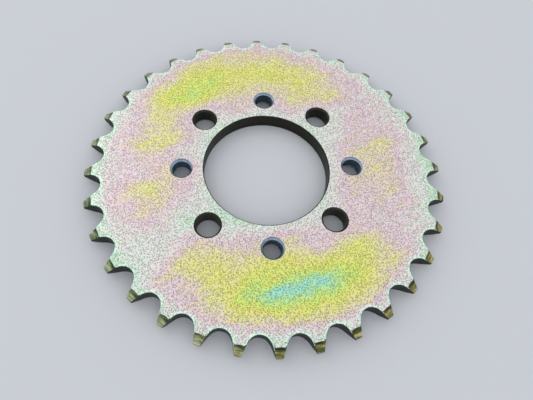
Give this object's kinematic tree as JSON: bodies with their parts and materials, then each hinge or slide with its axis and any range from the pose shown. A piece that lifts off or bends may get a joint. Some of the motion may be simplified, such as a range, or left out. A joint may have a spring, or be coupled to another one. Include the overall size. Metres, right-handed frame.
{
  "type": "rear sprocket",
  "caption": "Flat steel chain sprocket plate with a hub bore, plain bolt holes on a circle, tapped holes between them, and chamfered tooth tips.",
  "frame": {"origin": "centre of the bore at the hub-side face, on which the plate lies", "axes": "+Z along the wheel axis, away from the hub; +X through a tapped hole and the tooth tip beyond it"},
  "size_m": [0.1352, 0.1352, 0.0062],
  "materials": {
    "zinc_plated_steel": "yellow-passivated zinc plate, satin, with pink, yellow and green interference patches"
  },
  "bodies": {
    "root": {"sprocket_plate": "zinc_plated_steel"}
  },
  "joints": []
}
